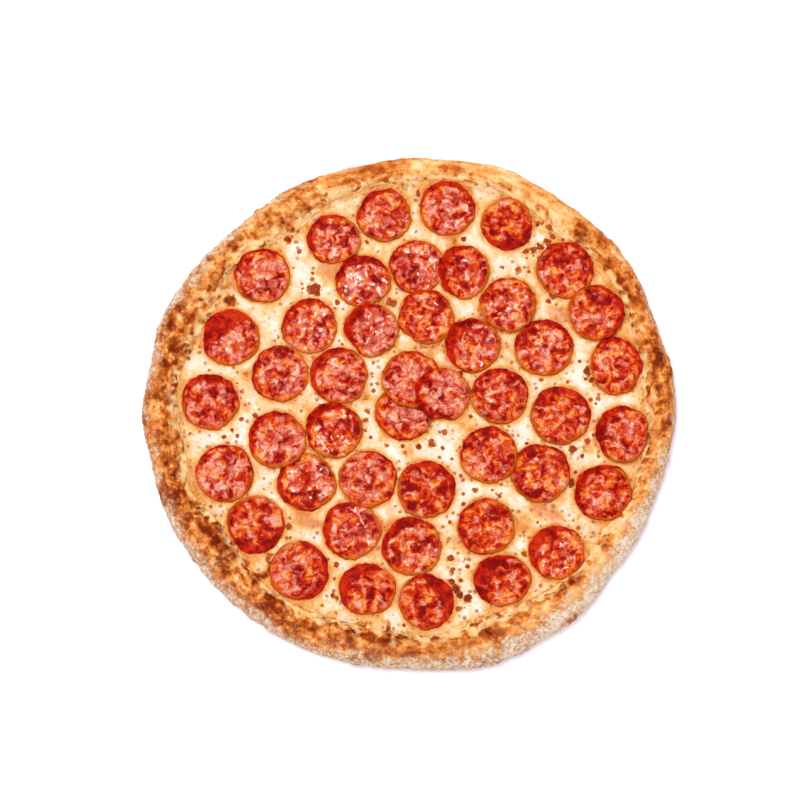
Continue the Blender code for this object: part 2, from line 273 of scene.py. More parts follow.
def dough_material():
    """Baked wheat dough: matt, gold to dark brown where the oven caught it, with oily cheese run onto it.

    Its mottling is 6 mm and its crumb 2 mm, with blotches of 28 mm below, from the oven's stone. A veil of
    flour greys the flanks. Its grains are drawn at 2.4 mm, coarser than real ones, so that they show.
    """
    finish, tree, place = start_material("baked_dough")
    bake, flour, film, blister, under = (
        add(tree, "Attribute", output=2, attribute_name=name)
        for name in ("bake", "flour", "film", "blister", "under"))
    blotch = add(tree, "TexNoise", {"Vector": place, "Scale": per(28), "Detail": 3, "Roughness": 0.5})
    bake = add(tree, "Math", {0: blotch, 1: under, 2: bake}, operation="MULTIPLY_ADD")
    mottle = add(tree, "TexNoise", {
        "Vector": place, "Scale": per(6), "Detail": 3, "Roughness": 0.5, "Distortion": 0.5})
    grain = add(tree, "TexNoise", {"Vector": place, "Scale": per(2.0), "Detail": 3, "Roughness": 0.6})
    toned = add(tree, "Math", {0: mottle, 1: 1.1, 2: -0.9}, operation="MULTIPLY_ADD")
    toned = add(tree, "Math", {0: grain, 1: 0.7, 2: toned}, operation="MULTIPLY_ADD")
    toned = add(tree, "Math", {0: toned, 1: blister, 2: bake}, operation="MULTIPLY_ADD")
    crumb = add(tree, "ValToRGB", {"Fac": toned}, stops=(
        (0.0, "FFEEC8"), (0.2, "FED498"), (0.36, "F6B066"), (0.5, "E28A40"), (0.64, "C2621E"),
        (0.78, "A0420E"), (1.0, "742002")))
    melted = add(tree, "Math", {0: grain, 1: 0.6, 2: film}, operation="MULTIPLY_ADD")
    melted = add(tree, "MapRange", {"Value": melted, "From Min": 0.4, "From Max": 1.5}, **SOFT)
    crumb = add(tree, "Mix", {0: melted, 6: crumb, 7: color("FFDA9C")}, **COLORS)
    dust = add(tree, "TexNoise", {"Vector": place, "Scale": per(2.4), "Detail": 3, "Roughness": 0.75})
    veil = add(tree, "MapRange", {"Value": flour, "From Min": 0.1, "From Max": 1.2, "To Max": 0.8})
    crumb = add(tree, "Mix", {0: veil, 6: crumb, 7: color("C28D62")}, **COLORS)
    dusted = add(tree, "Math", {0: dust, 1: 4.4, 2: flour}, operation="MULTIPLY_ADD")
    dusted = add(tree, "Math", {0: dusted, 1: 1.5}, operation="SUBTRACT")
    dusted = add(tree, "MapRange", {"Value": dusted, "From Min": 1.2, "From Max": 2.5}, **SOFT)
    dusted = add(tree, "Math", {0: dusted, 1: 0.9}, operation="MULTIPLY")
    crumb = add(tree, "Mix", {0: dusted, 6: crumb, 7: color("F2E2CC")}, **COLORS)
    rough = add(tree, "MapRange", {"Value": toned, "To Min": 0.75, "To Max": 0.5})
    bump = add(tree, "Bump", {"Height": grain, "Strength": 0.5, "Distance": 0.001})
    shader = add(tree, "BsdfPrincipled", {
        "Base Color": crumb, "Roughness": rough, "Normal": bump, "IOR": 1.4, "Specular IOR Level": 0.08})
    close_material(tree, shader)
    return finish


def cheese_material():
    """Melted mozzarella: creamy, a little see-through, orange with sausage oil, speckled brown by the oven.

    Its clouds of oil are 9 mm and its grain 2.2 mm. Toasted specks lie 3.6 mm apart where it is hottest.
    """
    finish, tree, place = start_material("melted_mozzarella")
    toast, oil, sauce, brown = (
        add(tree, "Attribute", output=2, attribute_name=name)
        for name in ("toast", "oil", "sauce", "brown"))
    cloud = add(tree, "TexNoise", {
        "Vector": place, "Scale": per(9), "Detail": 3, "Roughness": 0.55, "Distortion": 0.6})
    fine = add(tree, "TexNoise", {"Vector": place, "Scale": per(2.2), "Detail": 3, "Roughness": 0.6})
    yellow = add(tree, "Math", {0: cloud, 1: 1.2, 2: oil}, operation="MULTIPLY_ADD")
    yellow = add(tree, "Math", {0: fine, 1: 0.6, 2: yellow}, operation="MULTIPLY_ADD")
    yellow = add(tree, "Math", {0: yellow, 1: 0.7}, operation="SUBTRACT")
    milk = add(tree, "ValToRGB", {"Fac": yellow}, stops=(
        (0.0, "FAE8DA"), (0.22, "F7D8BC"), (0.4, "F3C48A"), (0.6, "ECA854"), (0.85, "DA8232")))
    thin = add(tree, "Math", {0: fine, 1: 1.2, 2: sauce}, operation="MULTIPLY_ADD")
    thin = add(tree, "MapRange", {"Value": thin, "From Min": 0.65, "From Max": 1.45}, **SOFT)
    thin = add(tree, "Math", {0: thin, 1: 0.35}, operation="MULTIPLY")
    milk = add(tree, "Mix", {0: thin, 6: milk, 7: color("FCE4D8")}, **COLORS)
    dots = add(tree, "TexVoronoi", {"Vector": place, "Scale": per(3.6), "Randomness": 1.0})
    kept = add(tree, "TexVoronoi", {"Vector": place, "Scale": per(3.6), "Randomness": 1.0}, output=1)
    spread = add(tree, "SeparateColor", {0: kept}, output=1)
    kept = add(tree, "SeparateColor", {0: kept})
    kept = add(tree, "Math", {0: kept, 1: toast}, operation="LESS_THAN")
    dots = add(tree, "Math", {0: fine, 1: 0.6, 2: dots}, operation="MULTIPLY_ADD")
    dots = add(tree, "Math", {0: spread, 1: 0.4, 2: dots}, operation="MULTIPLY_ADD")
    dots = add(tree, "MapRange", {"Value": dots, "From Min": 1.0, "From Max": 0.5}, **SOFT)
    dots = add(tree, "Math", {0: dots, 1: kept}, operation="MULTIPLY")
    mixed = add(tree, "Mix", {0: dots, 6: milk, 7: color("A8540E")}, **COLORS)
    baked = add(tree, "Math", {0: fine, 1: 1.2, 2: brown}, operation="MULTIPLY_ADD")
    baked = add(tree, "Math", {0: baked, 1: 0.6}, operation="SUBTRACT")
    crust = add(tree, "ValToRGB", {"Fac": baked}, stops=(
        (0.2, "F6BE6C"), (0.42, "E08F42"), (0.62, "B85F22"), (0.82, "8A3408"), (1.0, "6A1C04")))
    baked = add(tree, "MapRange", {"Value": baked, "From Min": 0.12, "From Max": 0.4}, **SOFT)
    mixed = add(tree, "Mix", {0: baked, 6: mixed, 7: crust}, **COLORS)
    rough = add(tree, "MapRange", {"Value": baked, "To Min": 0.34, "To Max": 0.6})
    shine = add(tree, "MapRange", {"Value": baked, "To Min": 0.4, "To Max": 0.1})
    bump = add(tree, "Bump", {"Height": fine, "Strength": 0.45, "Distance": 0.0008})
    shader = add(tree, "BsdfPrincipled", {
        "Base Color": mixed, "Roughness": rough, "Normal": bump, "IOR": 1.45, "Specular IOR Level": shine,
        "Subsurface Weight": 0.15, "Subsurface Radius": (1.0, 0.6, 0.3), "Subsurface Scale": 0.002})
    close_material(tree, shader)
    return finish


def crisp_material():
    """Scraps of cheese and sausage that the oven has crisped: brown to nearly black, a little shiny.

    Their crumb is 1.4 mm.
    """
    finish, tree, place = start_material("crisped_scraps")
    toast = add(tree, "Attribute", output=2, attribute_name="toast")
    fine = add(tree, "TexNoise", {"Vector": place, "Scale": per(1.4), "Detail": 3, "Roughness": 0.6})
    toned = add(tree, "Math", {0: fine, 1: 1.2, 2: toast}, operation="MULTIPLY_ADD")
    toned = add(tree, "Math", {0: toned, 1: 0.6}, operation="SUBTRACT")
    crisp = add(tree, "ValToRGB", {"Fac": toned}, stops=(
        (0.0, "F0BC6C"), (0.25, "D48638"), (0.45, "B45614"), (0.7, "983408"), (1.0, "6E1A04")))
    bump = add(tree, "Bump", {"Height": fine, "Strength": 0.5, "Distance": 0.0005})
    shader = add(tree, "BsdfPrincipled", {
        "Base Color": crisp, "Roughness": 0.5, "Normal": bump, "IOR": 1.4, "Specular IOR Level": 0.2})
    close_material(tree, shader)
    return finish


def sausage_material():
    """Cured pork sausage: brick red lean and pink fat in a coarse mince, wet with oil, darker at its edge.
    Its pink middle is partly painted sheen, its cream flecks partly painted glints, and its dark red side
    and thin dark edge partly painted shade.

    Mince and fat are drawn at 5 and 6 mm, coarser than the real 2 to 4 mm, so that they show from above.
    The meat's grain is 1.2 mm.
    """
    finish, tree, place = start_material("cured_sausage")
    char, pink, gloss, edge = (
        add(tree, "Attribute", output=2, attribute_name=name)
        for name in ("char", "pink", "gloss", "edge"))
    cloud = add(tree, "TexNoise", {
        "Vector": place, "Scale": per(9), "Detail": 2, "Roughness": 0.5, "Distortion": 0.8})
    mince = add(tree, "TexNoise", {
        "Vector": place, "Scale": per(5.0), "Detail": 2.5, "Roughness": 0.5, "Distortion": 0.9})
    fleck = add(tree, "TexNoise", {
        "Vector": place, "Scale": per(6.0), "Detail": 2.5, "Roughness": 0.5, "Distortion": 0.7})
    grain = add(tree, "TexNoise", {"Vector": place, "Scale": per(1.2), "Detail": 2, "Roughness": 0.6})
    tone = add(tree, "Math", {0: cloud, 1: 1.1, 2: mince}, operation="MULTIPLY_ADD")
    tone = add(tree, "Math", {0: grain, 1: 0.24, 2: tone}, operation="MULTIPLY_ADD")
    lean = add(tree, "ValToRGB", {
        "Fac": add(tree, "Math", {0: tone, 1: 0.67}, operation="SUBTRACT")}, stops=(
        (0.28, "7A0200"), (0.39, "AC1200"), (0.49, "CC3406"), (0.6, "E26018"), (0.74, "F29E50")))
    # Pink flecks: fat, and painted sheen where the middle is pinker.
    fat_and_sheen = add(tree, "Math", {0: fleck, 1: 4.0, 2: pink}, operation="MULTIPLY_ADD")
    fat_and_sheen = add(tree, "Math", {0: cloud, 1: 1.6, 2: fat_and_sheen}, operation="MULTIPLY_ADD")
    fat_and_sheen = add(tree, "MapRange", {"Value": fat_and_sheen, "From Min": 3.1, "From Max": 3.9}, **SOFT)
    fat_and_sheen = add(tree, "Math", {0: fat_and_sheen, 1: 0.85}, operation="MULTIPLY")
    rosy = add(tree, "Math", {0: grain, 1: 0.3, 2: mince}, operation="MULTIPLY_ADD")
    rosy = add(tree, "ValToRGB", {"Fac": rosy}, stops=(
        (0.44, "B42612"), (0.56, "D45A42"), (0.68, "E68A76"), (0.82, "F6C4B2")))
    meat = add(tree, "Mix", {0: fat_and_sheen, 6: lean, 7: rosy}, **COLORS)
    streak = add(tree, "TexNoise", {"Vector": place, "Scale": per(6), "Detail": 1, "Distortion": 1.8})
    streak = add(tree, "Math", {0: streak, 1: 0.5}, operation="SUBTRACT")
    streak = add(tree, "Math", {0: streak}, operation="ABSOLUTE")
    streak = add(tree, "MapRange", {"Value": streak, "From Min": 0.04, "From Max": 0.0, "To Max": 0.6})
    meat = add(tree, "Mix", {0: streak, 6: meat, 7: color("9A0C02")}, **COLORS)
    # Cream flecks: fat, and painted glints of oil; where they lie the surface is also really shinier.
    cream_and_glint = add(tree, "TexNoise", {
        "Vector": place, "Scale": per(5.0), "Detail": 2, "Roughness": 0.5, "Distortion": 1.2})
    cream_and_glint = add(tree, "Math", {0: cream_and_glint, 1: 3.0, 2: gloss}, operation="MULTIPLY_ADD")
    wet = add(tree, "MapRange", {"Value": cream_and_glint, "From Min": 1.9, "From Max": 2.5}, **SOFT)
    cream_and_glint = add(tree, "MapRange", {"Value": cream_and_glint, "From Min": 2.1, "From Max": 2.7}, **SOFT)
    meat = add(tree, "Mix", {0: cream_and_glint, 6: meat, 7: color("FFE0D6")}, **COLORS)
    tan = add(tree, "Math", {0: mince, 1: 1.6, 2: edge}, operation="MULTIPLY_ADD")
    tan = add(tree, "MapRange", {"Value": tan, "From Min": 1.0, "From Max": 1.9, "To Max": 0.8})
    meat = add(tree, "Mix", {0: tan, 6: meat, 7: color("C2600E")}, **COLORS)
    # Dark red where the slice is charred, and painted shade on its raised dark side and thin edge.
    dark = add(tree, "Math", {0: mince, 1: 0.9, 2: char}, operation="MULTIPLY_ADD")
    dark = add(tree, "MapRange", {"Value": dark, "From Min": 0.75, "From Max": 1.25}, **SOFT)
    seared_and_shaded = add(tree, "ValToRGB", {
        "Fac": add(tree, "Math", {0: tone, 1: 0.67}, operation="SUBTRACT")}, stops=(
        (0.3, "800200"), (0.5, "AE1200"), (0.68, "C62C04")))
    cooked = add(tree, "Mix", {0: dark, 6: meat, 7: seared_and_shaded}, **COLORS)
    rough = add(tree, "MapRange", {"Value": wet, "To Min": 0.5, "To Max": 0.15})
    shine = add(tree, "MapRange", {"Value": wet, "To Min": 0.06, "To Max": 0.5})
    bump = add(tree, "Bump", {"Height": mince, "Strength": 0.4, "Distance": 0.0012})
    shader = add(tree, "BsdfPrincipled", {
        "Base Color": cooked, "Roughness": rough, "Normal": bump, "IOR": 1.45, "Specular IOR Level": shine})
    close_material(tree, shader)
    return finish


# Browned places on the rim, read from the photograph: angle, radius, width round the rim, depth across it
# and darkness
BROWNED = (
    (88, 166, 4, 3, 0.6), (82, 169, 14, 5, 0.35), (76, 166, 5, 5, 0.6), (72, 175, 6, 3, 0.4),
    (55.5, 176, 3, 2, 0.6), (51.5, 167.5, 4, 4, 0.7), (47, 170, 11, 10, 0.85), (42, 173, 9, 6, 0.5),
    (37, 170, 7, 7, 0.45), (32.5, 168, 6, 6, 0.85), (27, 170, 10, 8, 0.35), (22, 165, 7, 7, 0.85),
    (17, 166, 6, 6, 0.6), (15.5, 161, 6, 4, 0.55), (13, 169, 17, 10, 1.0), (9, 174, 14, 5, 0.7),
    (3, 172, 20, 8, 0.45), (358, 171, 10, 6, 0.6), (348.5, 160, 6, 6, 0.55), (346, 161, 3, 3, 0.5),
    (325.5, 160, 8, 10, 0.6), (325, 153, 4, 4, 0.6), (320, 157, 4, 5, 0.4), (314.5, 158.5, 10, 8, 0.75),
    (309, 158, 10, 8, 0.8), (306.5, 155, 5, 5, 0.7), (308, 175.5, 12, 4, 0.7), (298.5, 149.5, 5, 3, 0.7),
    (296, 149, 4, 3, 0.7), (293.5, 148, 5, 3, 0.7), (291, 148.5, 5, 3, 0.6), (288, 149, 5, 3, 0.7),
    (290, 160, 16, 12, 0.5), (287, 175, 20, 6, 0.45), (280, 158, 12, 6, 0.5), (276, 153, 6, 4, 0.55),
    (272, 163, 14, 8, 0.35), (267.5, 152, 6, 8, 0.85), (263, 156, 12, 5, 0.85), (259, 150, 5, 8, 0.6),
    (255, 154, 4, 4, 0.7), (248, 150, 12, 5, 0.45), (245, 159, 26, 9, 0.4), (235, 159, 22, 12, 0.85),
    (240, 165, 14, 6, 0.5), (222, 162, 8, 10, 0.85), (218.5, 162, 6, 10, 0.8), (219, 154, 14, 8, 0.6),
    (212.5, 154, 16, 9, 0.95), (207.5, 165, 6, 6, 0.5), (203, 159, 7, 7, 0.5), (201, 172.5, 6, 3, 0.5),
    (198, 168, 20, 10, 0.7), (198, 174.5, 14, 3, 0.8), (193, 162, 16, 10, 0.75), (187, 161, 7, 9, 0.8),
    (185, 155, 6, 4, 0.5), (182, 176.5, 14, 3, 0.8), (175, 166, 14, 8, 0.4), (166.5, 166, 6, 6, 0.7),
    (164, 162, 12, 14, 0.65), (163.5, 155, 5, 5, 0.9), (161, 174.5, 16, 4, 0.85), (158, 170, 18, 8, 0.8),
    (155, 166, 10, 14, 0.75), (151, 159, 3, 3, 0.9), (147, 143, 9, 10, 0.9), (144.5, 162, 5, 6, 0.85),
    (141.5, 169, 6, 6, 0.6), (136, 164, 9, 9, 0.95), (130.5, 162, 3, 3, 0.7), (128, 166, 4, 4, 0.8),
    (126, 159, 5, 5, 0.6), (123, 162, 4, 4, 0.6), (122.5, 156, 5, 5, 0.9), (124, 145, 6, 6, 0.9),
    (122, 150, 6, 6, 0.85), (125.5, 174, 10, 4, 0.5), (117, 164, 3, 3, 0.6), (112.5, 165, 5, 5, 0.5),
    (110.5, 160, 4, 4, 0.7), (112, 172.5, 16, 2.5, 0.7), (104, 164.5, 4.5, 4.5, 0.85),
    (98, 169, 12, 5, 0.3),
)
READ_UP = -2.4            # the point they were read about, in millimetres up from the pizza's middle
# How brown the rim is and how much flour its flank holds, every twenty degrees from +X
BAKED = (
    0.51, 0.53, 0.46, 0.36, 0.4, 0.42, 0.42, 0.46, 0.5, 0.53, 0.54, 0.54, 0.54, 0.55, 0.53, 0.47, 0.34, 0.38
)
FLOURED = (0.5, 0.35, 0.25, 0.0, 0.0, 0.1, 0.5, 1.0, 0.85, 0.6, 0.75, 0.8, 0.8, 0.9, 1.05, 1.2, 1.35, 1.15)
# How blistered the rim is, in the same places
BLISTERED = (1.0, 0.8, 0.7, 0.35, 0.25, 0.5, 0.9, 1.0, 1.0, 1.0, 1.2, 1.2, 1.2, 1.0, 0.9, 0.9, 0.5, 0.7)
# Bubbles, brown round a pale middle: across and down in the photograph's pixels, width and darkness
BUBBLES = (
    (376, 628, 17, 0.9), (541, 214, 9, 0.6), (258, 564, 17, 0.8), (169, 360, 9, 0.8), (190, 268, 10, 0.7),
)


def browned_places(x, y):
    """Darkness and paleness from the browned places and bubbles, and how far they stand up.

    A place is an ellipse that lies along the rim. A bubble is a pale disc in a brown ring, open on its far
    side. Noise moves both outlines by up to 3 mm.
    """
    dark, pale, bubble = np.zeros_like(x), np.zeros_like(x), np.zeros_like(x)
    flat = np.stack((x, y, 0 * x), -1)
    x = x + 1.5 * noise(flat, 6, 91) + 0.9 * noise(flat, 2.8, 93)
    y = y + 1.5 * noise(flat, 6, 95) + 0.9 * noise(flat, 2.8, 97) - READ_UP
    for angle, radius, width, depth, strength in BROWNED:
        turn = math.radians(angle)
        out = x * math.cos(turn) + y * math.sin(turn) - radius
        side = y * math.cos(turn) - x * math.sin(turn)
        near = 1 - ramp(np.hypot(out / depth, side / width) * 2, 0.4, 1.4)
        dark = np.maximum(dark, strength * near)
        bubble = np.maximum(bubble, near * strength * min(width, depth))
    for across, down, width, strength in BUBBLES:
        at = pixel(across, down)
        side, out = x - at[0], y + READ_UP - at[1]
        far = 2 * np.hypot(side, out) / width
        edge = ramp(far, 1.45, 1.1) * ramp(far, 0.5, 0.9) * ramp(out / width, 0.7, -0.2)
        pale = np.maximum(pale, ramp(far, 0.9, 0.6))
        dark = np.maximum(dark * (1 - ramp(far, 1.0, 0.7)), strength * edge)
        bubble = np.maximum(bubble, 0.8 * width * ramp(far, 1.2, 0.2))
    return dark, pale, bubble


def make_crust(finish):
    """Dough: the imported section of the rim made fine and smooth, and pushed out along its normals.

    It is pushed by lumps of 22 and 5 mm, puffs and pits where it is blistered, bubbles, creases, and a lip
    that laps over the cheese's edge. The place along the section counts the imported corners: 0 at the bed's
    edge, 5 at the rim's crest, 9 at its widest and 12 at its foot.
    """
    rings = spokes(corners("crust"), CRUST_SPOKES)
    core = rings[:, :, 0].max(axis=1, keepdims=True) - RIM_CORE_IN
    rings = sort_spokes(rings, -np.arctan2(rings[:, :, 1] - RIM_CORE_UP, rings[:, :, 0] - core))[..., :2]
    last = rings.shape[1] - 1
    along = even_steps(rings.mean(axis=0), CRUST_ALONG)
    turn = np.arange(CRUST_AROUND) / CRUST_AROUND * CRUST_SPOKES
    place, spoke = np.meshgrid(along, turn, indexing="ij")
    radius, height = np.moveaxis(smooth_sheet(rings, spoke, place), -1, 0)
    angle = spoke / CRUST_SPOKES * math.tau
    points = np.stack((radius * np.cos(angle), radius * np.sin(angle), height), -1)
    normal = grid_normals(points)
    dark, pale, bubble = browned_places(points[..., 0], points[..., 1])
    upward = ramp(normal[..., 2], -0.35, 0.25)
    dark = dark * upward
    blistered = around(BLISTERED, angle) * (0.35 + 0.65 * upward)
    puffs = 1.5 * np.abs(noise(points, 11, 11)) + 0.9 * np.abs(noise(points, 5.5, 13)) - 0.6
    lumps = 0.5 * layered(points, 22, 21, 3) + 0.2 * layered(points, 5, 25, 2)
    pits = ramp(noise(points, 3.4, 41), 0.3, 0.55)
    spots = ramp(noise(points, 5.5, 31) + 0.4 * noise(points, 2.6, 33), 0.22, 0.5)
    strip = np.stack((CREST_RADIUS * np.cos(angle), CREST_RADIUS * np.sin(angle), CORNER_STEP * place), -1)
    seam = ramp(noise(points, 4.2, 35) + 0.3 * noise(points, 11, 37), 0.28, 0.5)
    seam = seam * ramp(place, 1.9, 2.4) * ramp(place, 5.2, 4.0)
    streaks = layered(strip * (0.45, 0.45, 1), 8, 53, 3)
    crease = ramp(np.abs(layered(strip, 11, 43, 2)), 0.09, 0.0) * ramp(place, 5, 7)
    relief = lumps + blistered * (puffs + 0.5 * spots - 0.7 * pits) + 0.07 * bubble - 0.35 * crease
    fade = ramp(place, 0.5, 2.2) * ramp(place, last - 0.02, last - 1.2)
    lip = 0.4 + 1.4 * ramp(layered(points, 9, 45, 2), -0.1, 0.6)
    lip = lip * ramp(place, 1.0, 2.6) * ramp(place, 5.2, 2.9)
    points = points + normal * (relief * fade + lip)[..., None]
    ceiling = HIGH[2] - SOFT_TOP
    over = np.maximum(points[..., 2] - ceiling, 0)
    points[..., 2] += 0.97 * SOFT_TOP * (1 - np.exp(-over / SOFT_TOP)) - over
    inner = ramp(place, 4.4, 2.4)
    floured = around(FLOURED, angle)
    flank = ramp(place + 2.5 * (floured - 0.5) + 1.6 * layered(points, 9, 47, 3), 5.4, 8.8)
    flank = np.maximum(flank, 0.35 * floured * ramp(place, 3, 6.5))
    bake = around(BAKED, angle) + 0.02 + 0.12 * layered(points, 24, 51, 3) + 0.18 * streaks
    bake = bake + 0.12 * blistered * puffs + blistered * (0.16 * spots + 0.14 * pits) * (1 - 0.3 * inner)
    dark = dark * (0.6 + 0.7 * ramp(noise(points, 3.6, 61), -0.15, 0.3))
    bake = bake - 0.03 * inner - 0.04 * flank + 0.14 * crease + 0.2 * ramp(place, last - 1, last)
    bake = bake + 0.3 * dark - 0.2 * pale + 0.15 * seam
    flour = (0.7 + 0.5 * floured + 0.2 * layered(points, 12, 49, 2)) * flank * (1 - 0.7 * dark)
    film = ramp(place + 1.6 * layered(points, 8, 71, 3), 4.8, 1.8)
    film = film * (1 - dark) * (1 - seam) * (1 - 0.4 * spots)
    foot = points[-1]
    under = [foot * (share, share, 0) for share in BASE_RINGS]
    toe = points[0]
    everything = np.concatenate((points.reshape(-1, 3), *under, [[0, 0, toe[:, 2].mean()], [0, 0, 0]]))
    count = len(everything)
    rows = CRUST_ALONG + len(BASE_RINGS)
    ring = np.arange(CRUST_AROUND)
    faces = (grid_faces(rows, CRUST_AROUND, True), fan_faces(ring, count - 2),
             fan_faces(ring + (rows - 1) * CRUST_AROUND, count - 1, False))
    everything = np.clip(everything, LOW + (BOX_GAP, BOX_GAP, 0), HIGH - BOX_GAP)
    attributes = {}
    for label, values, below in (("bake", bake, 0.02), ("under", 0 * bake, 0.9), ("flour", flour, 0.5),
                                 ("film", film, 0), ("blister", 0.3 + 0.5 * blistered, 0.7)):
        attributes[label] = np.append(values.ravel(), np.full(count - values.size, below))
    make_piece("dough_crust", everything, faces, finish, attributes, "crust")


def slice_form(node):
    """A slice's form as waves: its middle, its edge's radius and the powers of its underside's height.

    Each spoke has two corners below and two above. The five below on a diameter fix a quartic, and its
    coefficients and the radius are Fourier series of the angle.
    """
    points = corners(node)
    middle = points.mean(axis=0)
    poles = points[np.argsort(np.hypot(*(points - middle).T[:2]))[:2]]
    pole = poles[poles[:, 2].argmin()]
    points = points - (pole[0], pole[1], 0)
    far = np.hypot(points[:, 0], points[:, 1]) > POLE_REACH
    angle = np.arctan2(points[far, 1], points[far, 0]) % math.tau
    spoke = np.round(angle / math.tau * SLICE_SPOKES).astype(int) % SLICE_SPOKES
    groups = points[far][np.argsort(spoke, kind="stable")].reshape(SLICE_SPOKES, 4, 3)
    reach = np.hypot(groups[..., 0], groups[..., 1])
    groups = np.take_along_axis(groups, reach.argsort(axis=1)[..., None], 1)
    pairs = groups.reshape(SLICE_SPOKES, 2, 2, 3)
    lower = np.take_along_axis(pairs, pairs[..., 2].argmin(axis=2)[..., None, None], 2)[:, :, 0]
    radius = np.hypot(lower[:, 1, 0], lower[:, 1, 1])
    height = lower[..., 2]
    across = np.roll(height, SLICE_SPOKES // 2, axis=0)
    centre = np.full(SLICE_SPOKES, pole[2])
    heights = np.column_stack((across[:, 1], across[:, 0], centre, height[:, 0], height[:, 1]))
    shares = np.array((-1, -SLICE_RING, 0, SLICE_RING, 1))
    powers = heights @ np.linalg.inv(np.vander(shares, increasing=True)).T
    return pole[:2], np.fft.rfft(radius) / SLICE_SPOKES, np.fft.rfft(powers, axis=0) / SLICE_SPOKES


def series(waves, angle):
    """Value of a real Fourier series at any angles."""
    total = waves[0].real
    for k in range(1, len(waves) - 1):
        total = total + 2 * (waves[k].real * np.cos(k * angle) - waves[k].imag * np.sin(k * angle))
    return total


def underside(form, share, angle):
    """Height of a slice's underside at a share of its radius."""
    return sum(series(form[2][:, k], angle) * share**k for k in range(form[2].shape[1]))


# Every packed slice as the photograph shows it: how pink its middle is (pink fat and painted sheen), the
# direction and the width (as a share of the radius) of its dark red side (painted shade on a seared, raised
# edge), how much cream fat and painted glint of oil shines on it, and its char
LOOKS = (
    (0.55, 125, 0.22, 0.45, 0.1), (0.7, 95, 0.2, 0.3, 0.15), (0.1, 280, 0.3, 0.1, 0.1),
    (0.6, 150, 0.24, 0.5, 0.1), (0.75, 110, 0.15, 0.3, 0.1), (0.7, 110, 0.3, 0.85, 0.1),
    (0.75, 180, 0.15, 0.7, 0.0), (0.5, 160, 0.32, 0.5, 0.1), (0.45, 60, 0.17, 0.2, 0.2),
    (0.6, 100, 0.12, 0.6, 0.0), (0.5, 20, 0.18, 0.2, 0.15), (0.65, 110, 0.22, 0.6, 0.05),
    (0.85, 155, 0.3, 0.55, 0.0), (0.3, 120, 0.16, 0.55, 0.0), (0.6, 160, 0.32, 0.6, 0.05),
    (0.55, 90, 0.2, 0.4, 0.1), (0.75, 125, 0.6, 0.45, 0.1), (0.7, 170, 0.1, 0.15, 0.05),
    (0.75, 150, 0.25, 0.3, 0.05), (0.4, 50, 0.16, 0.15, 0.15), (0.75, 40, 0.12, 0.1, 0.05),
    (0.85, 190, 0.2, 0.35, 0.05), (0.8, 240, 0.1, 0.15, 0.0), (0.5, 80, 0.2, 0.5, 0.05),
    (0.4, 80, 0.25, 0.2, 0.15), (0.6, 155, 0.28, 0.3, 0.15), (0.6, 85, 0.25, 0.2, 0.15),
    (0.75, 140, 0.2, 0.35, 0.05), (0.35, 130, 0.3, 0.75, 0.1), (0.5, 100, 0.15, 0.3, 0.1),
    (0.35, 90, 0.15, 0.5, 0.1), (0.35, 150, 0.25, 0.35, 0.25), (0.65, 90, 0.12, 0.15, 0.15),
    (0.6, 200, 0.2, 0.7, 0.05), (0.75, 20, 0.12, 0.4, 0.05), (0.3, 60, 0.27, 0.2, 0.2),
    (0.4, 280, 0.27, 0.15, 0.25), (0.55, 165, 0.25, 0.65, 0.05), (0.45, 130, 0.3, 0.6, 0.05),
    (0.3, 170, 0.15, 0.35, 0.1), (0.55, 0, 0.2, 0.15, 0.25), (0.25, 140, 0.35, 0.6, 0.2),
    (0.3, 130, 0.37, 0.1, 0.3), (0.3, 30, 0.42, 0.15, 0.3), (0.25, 150, 0.45, 0.25, 0.25),
)


